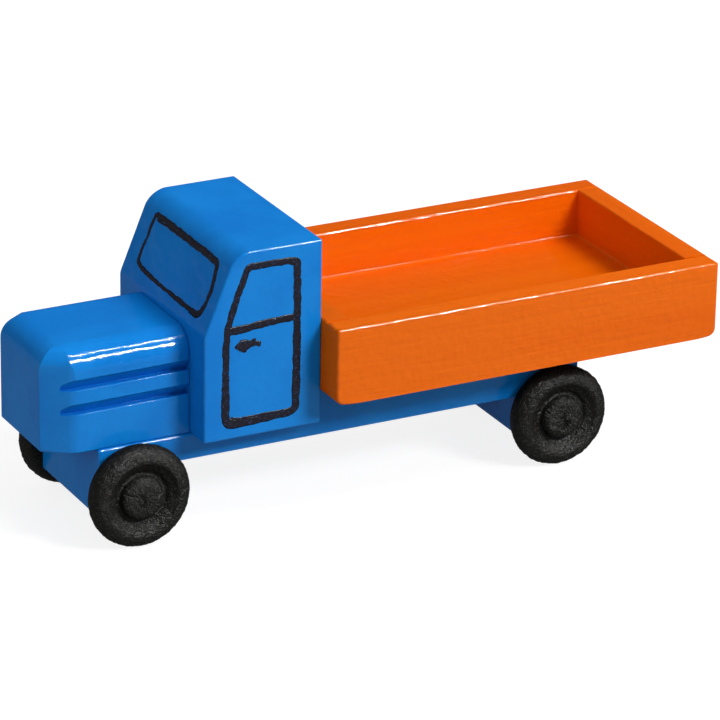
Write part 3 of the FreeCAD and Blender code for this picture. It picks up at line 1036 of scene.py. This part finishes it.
class TOYTRUCK_OT_pen_lines(bpy.types.Operator):
    """Draws the windscreen, doors, waist lines and handles in ink on the cab"""

    bl_idname = "toytruck.pen_lines"
    bl_label = "Pen Lines"

    def execute(self, context):
        shape = context.scene.toy_truck_shape
        low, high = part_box("cab")
        for side, sign in SIDES.items():
            face = Matrix.Translation((low.x, sign * high.y, low.z)) @ Matrix.Rotation(math.pi / 2, 4, "X")
            for name, points, closed in (
                ("door", DOOR_LINE, True),
                ("waist", WAIST_LINE, False),
                ("sill", SILL_LINE, False),
                ("handle", HANDLE_LINE, False),
                ("handle_hook", HANDLE_HOOK_LINE, False),
            ):
                self.stroke(f"{side}_{name}_line", points, face, closed)
        rise = high.z - low.z - shape.windscreen_sill
        slope = math.atan2(shape.windscreen_setback, rise)
        axes = Matrix((
            (0, -math.sin(slope), math.cos(slope)),
            (1, 0, 0),
            (0, math.cos(slope), math.sin(slope)),
        )).to_4x4()
        face = Matrix.Translation((high.x, 0, low.z + shape.windscreen_sill)) @ axes
        self.stroke("windscreen_line", WINDSCREEN_LINE, face, True)
        self.stroke("windscreen_second_line", WINDSCREEN_SECOND_LINE, face, False)
        return {"FINISHED"}

    def path(self, name, points, closed, seed):
        """Draws a wobbly line through points on the flat."""
        start_piece()
        bpy.ops.mesh.primitive_plane_add(size=1)
        line = bpy.context.object
        line.name = name
        bpy.ops.object.mode_set(mode="EDIT")
        bpy.ops.mesh.select_all(action="SELECT")
        bpy.ops.mesh.merge(type="CENTER")
        bpy.ops.mesh.select_mode(type="VERT")
        bpy.ops.mesh.select_all(action="SELECT")
        places = [Vector((x * MM, y * MM, 0)) for x, y, width in points]
        bpy.ops.transform.translate(value=places[0])
        for here, following in zip(places, places[1:]):
            bpy.ops.mesh.extrude_vertices_move(TRANSFORM_OT_translate={"value": following - here})
        if closed:
            choose(line, "VERT", lambda end: len(end.link_edges) == 1)
            bpy.ops.mesh.edge_face_add()
        for _ in range(6):
            shape = bmesh.from_edit_mesh(line.data)
            if max(edge.calc_length() for edge in shape.edges) < PEN_STEP:
                break
            choose(line, "EDGE", lambda edge: edge.calc_length() > PEN_STEP)
            bpy.ops.mesh.subdivide()
        bpy.ops.mesh.select_all(action="SELECT")
        bpy.ops.mesh.vertices_smooth(factor=0.5, repeat=3)
        bpy.ops.transform.vertex_random(offset=PEN_WOBBLE, uniform=1.0, seed=seed)
        bpy.ops.mesh.vertices_smooth(factor=0.5, repeat=2)
        bpy.ops.object.mode_set(mode="OBJECT")
        return line

    def stroke(self, name, points, face, closed):
        """Lays a flat stroke of ink on a face."""
        seed = len(points)
        line = self.path(name, points, closed, seed)
        make_active(line)
        bpy.ops.object.convert(target="CURVE")
        line = bpy.context.object
        widest = max(width for x, y, width in points) * MM
        line.data.bevel_depth = widest / 2
        line.data.bevel_resolution = 2
        line.data.use_fill_caps = True
        self.press(line, points, widest, closed, seed)
        bpy.ops.object.convert(target="MESH")
        self.lay(bpy.context.object, name, widest, face, seed)

    def press(self, line, points, widest, closed, seed):
        """Gives each point of a line the width that the hand gave it, drawn in at open ends."""
        shape = bpy.context.scene.toy_truck_shape
        for spline in line.data.splines:
            for point in spline.points:
                place = Vector(point.co[:3])
                total, weight = 0, 0
                for x, y, drawn in points:
                    nearness = 1 / ((place - Vector((x * MM, y * MM, 0))).length_squared + NEAR ** 2)
                    total += drawn * MM * nearness
                    weight += nearness
                width = total / weight
                wander = 1 + shape.pen_pressure * noise.noise(place / PEN_BEAT + Vector((0, 0, seed)))
                point.radius = width / widest * wander * shape.ink_spread
            if not closed:
                for end in (0, -1):
                    spline.points[end].radius *= PEN_LIFT

    def lay(self, stroke, name, width, face, seed):
        """Roughens a stroke's edges, flattens it and puts it on a face of the cab."""
        shape = bpy.context.scene.toy_truck_shape
        make_active(stroke)
        bpy.ops.object.mode_set(mode="EDIT")
        bpy.ops.mesh.select_all(action="SELECT")
        bpy.ops.transform.vertex_random(offset=INK_WOBBLE, uniform=1.0, seed=seed + 1)
        bpy.ops.mesh.vertices_smooth(factor=0.3, repeat=1)
        bpy.ops.mesh.normals_make_consistent(inside=False)
        bpy.ops.object.mode_set(mode="OBJECT")
        stroke.scale = (1, 1, shape.pen_height / (width / 2))
        apply_place(stroke)
        stroke.matrix_world = face
        apply_place(stroke)
        bpy.ops.object.shade_smooth()
        stroke.name = name
        stroke.data.name = name
        dress(stroke, TRUCK, "black_paint", ink())


class TOYTRUCK_OT_running_gear(bpy.types.Operator):
    """Paints the chassis and axle blocks, and leaves the dowels bare"""

    bl_idname = "toytruck.running_gear"
    bl_label = "Chassis and Axles"

    def execute(self, context):
        finishes = {
            "chassis": blue_paint(),
            "front_axle_block": blue_paint(),
            "rear_axle_block": blue_paint(),
            "front_axle": bare_dowel(),
            "rear_axle": bare_dowel(),
        }
        for node, material in finishes.items():
            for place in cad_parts[node].material_slots:
                place.material = material
        return {"FINISHED"}


class TOYTRUCK_OT_stage(bpy.types.Operator):
    """Sets up the floor, the lamps, the world and the camera"""

    bl_idname = "toytruck.stage"
    bl_label = "Stage"

    def execute(self, context):
        stage = context.scene.toy_truck_stage
        self.floor(stage)
        self.lamps(stage)
        self.world(stage)
        self.camera(stage)
        context.scene.view_settings.view_transform = "Standard"
        return {"FINISHED"}

    def floor(self, stage):
        """A wide white floor that glows a little where it is seen, under the truck's shadow."""
        start_piece()
        bpy.ops.mesh.primitive_plane_add(size=40)
        floor = bpy.context.object
        floor.name = "studio_floor"
        material = bpy.data.materials.new("white_floor")
        material.use_nodes = True
        nodes, links = material.node_tree.nodes, material.node_tree.links
        nodes.clear()
        grey = 0.27
        paint = nodes.new("ShaderNodeBsdfDiffuse")
        paint.inputs["Color"].default_value = (grey, grey, grey, 1)
        glow = nodes.new("ShaderNodeEmission")
        glow.inputs["Color"].default_value = (1, 1, 1, 1)
        both = nodes.new("ShaderNodeAddShader")
        output = nodes.new("ShaderNodeOutputMaterial")
        links.new(self.seen(nodes, links, stage.floor_glow), glow.inputs["Strength"])
        links.new(paint.outputs[0], both.inputs[0])
        links.new(glow.outputs[0], both.inputs[1])
        links.new(both.outputs[0], output.inputs["Surface"])
        floor.data.materials.append(material)

    def seen(self, nodes, links, strength):
        """A strength for rays from the camera, a gloss or a glass, and none for the rest."""
        path = nodes.new("ShaderNodeLightPath")
        total = path.outputs["Is Camera Ray"]
        for ray in ("Is Glossy Ray", "Is Transmission Ray"):
            add = nodes.new("ShaderNodeMath")
            add.operation = "ADD"
            add.use_clamp = True
            links.new(total, add.inputs[0])
            links.new(path.outputs[ray], add.inputs[1])
            total = add.outputs[0]
        scale = nodes.new("ShaderNodeMath")
        scale.operation = "MULTIPLY"
        links.new(total, scale.inputs[0])
        scale.inputs[1].default_value = strength
        return scale.outputs[0]

    def lamp(self, name, power, place, size):
        """Adds a panel of light that faces the truck."""
        start_piece()
        place = Vector(place)
        back = (place - Vector((0, 0, 0.02))).normalized()
        along = (Vector((1, 0, 0)) - back * back.x).normalized()
        turn = Matrix((along, back.cross(along), back)).transposed().to_euler()
        bpy.ops.object.light_add(type="AREA", location=place, rotation=turn)
        lamp = bpy.context.object
        lamp.name = name
        lamp.data.name = name
        lamp.data.shape = "RECTANGLE"
        lamp.data.size, lamp.data.size_y = size
        lamp.data.energy = power
        return lamp

    def lamps(self, stage):
        """Two softboxes, each behind a strip that shows only in the gloss, and two large panels."""
        low, high = (-0.39, 0.72, 0.597), (-0.39, 0.4, 0.84)
        softbox_size, strip_size, strip_nearness = (0.3, 0.2), (0.3, 0.03), 0.98
        self.lamp("softbox_low", stage.key_power, low, softbox_size)
        self.lamp("softbox_high", stage.top_power, high, softbox_size)
        for name, place, share in (("low", low, 1), ("high", high, 0.22)):
            nearer = Vector(place) * strip_nearness
            strip = self.lamp(f"strip_{name}", stage.glint_power * share, nearer, strip_size)
            strip.visible_diffuse = False
        self.lamp("panel_beside", stage.fill_power, (0.2, 1.35, 0.6), (1.0, 0.8))
        ahead = self.lamp("panel_ahead", stage.front_power, (1.4, 0.1, 0.5), (0.8, 0.8))
        ahead.visible_glossy = False

    def world(self, stage):
        """An evenly lit pale room."""
        world = bpy.context.scene.world or bpy.data.worlds.new("Studio")
        bpy.context.scene.world = world
        world.use_nodes = True
        nodes, links = world.node_tree.nodes, world.node_tree.links
        nodes.clear()
        sky = nodes.new("ShaderNodeBackground")
        sky.inputs["Color"].default_value = (1, 1, 1, 1)
        sky.inputs["Strength"].default_value = stage.world_level
        output = nodes.new("ShaderNodeOutputWorld")
        links.new(sky.outputs[0], output.inputs["Surface"])

    def camera(self, stage):
        """Puts the camera where the photograph was taken from."""
        start_piece()
        turn = (
            Matrix.Rotation(stage.camera_azimuth, 3, "Z")
            @ Matrix.Rotation(math.pi / 2 - stage.camera_elevation, 3, "X")
            @ Matrix.Rotation(stage.camera_roll, 3, "Z")
        )
        bpy.ops.object.camera_add(location=stage.camera_place, rotation=turn.to_euler())
        camera = bpy.context.object
        camera.name = "photo_camera"
        camera.data.sensor_width = 36
        camera.data.lens = stage.camera_lens
        camera.data.clip_start = 0.01
        bpy.context.scene.camera = camera


class TOYTRUCK_PT_sidebar(bpy.types.Panel):
    """Lists the pieces of the toy truck"""

    bl_label = "Toy Truck"
    bl_idname = "TOYTRUCK_PT_sidebar"
    bl_space_type = "VIEW_3D"
    bl_region_type = "UI"
    bl_category = "Toy Truck"

    def draw(self, context):
        for operator in OPERATORS:
            self.layout.operator(operator.bl_idname)


PROPERTIES = {
    "toy_truck_shape": ToyTruckShape,
    "toy_truck_paint": ToyTruckPaint,
    "toy_truck_stage": ToyTruckStage,
}
OPERATORS = (
    TOYTRUCK_OT_running_gear,
    TOYTRUCK_OT_bonnet,
    TOYTRUCK_OT_cab,
    TOYTRUCK_OT_pen_lines,
    TOYTRUCK_OT_bed,
    TOYTRUCK_OT_wheels,
    TOYTRUCK_OT_stage,
)


def register():
    """Adds the operators, the panel and the settings to Blender."""
    for name, group in PROPERTIES.items():
        bpy.utils.register_class(group)
        setattr(bpy.types.Scene, name, PointerProperty(type=group))
    for operator in OPERATORS:
        bpy.utils.register_class(operator)
    bpy.utils.register_class(TOYTRUCK_PT_sidebar)


def unregister():
    """Takes them out again."""
    bpy.utils.unregister_class(TOYTRUCK_PT_sidebar)
    for operator in reversed(OPERATORS):
        bpy.utils.unregister_class(operator)
    for name, group in PROPERTIES.items():
        delattr(bpy.types.Scene, name)
        bpy.utils.unregister_class(group)


def main():
    """Builds the truck and its stage."""
    register()
    bpy.ops.toytruck.running_gear()
    bpy.ops.toytruck.bonnet()
    bpy.ops.toytruck.cab()
    bpy.ops.toytruck.pen_lines()
    bpy.ops.toytruck.bed()
    bpy.ops.toytruck.wheels()
    bpy.ops.toytruck.stage()


if __name__ == "__main__":
    main()
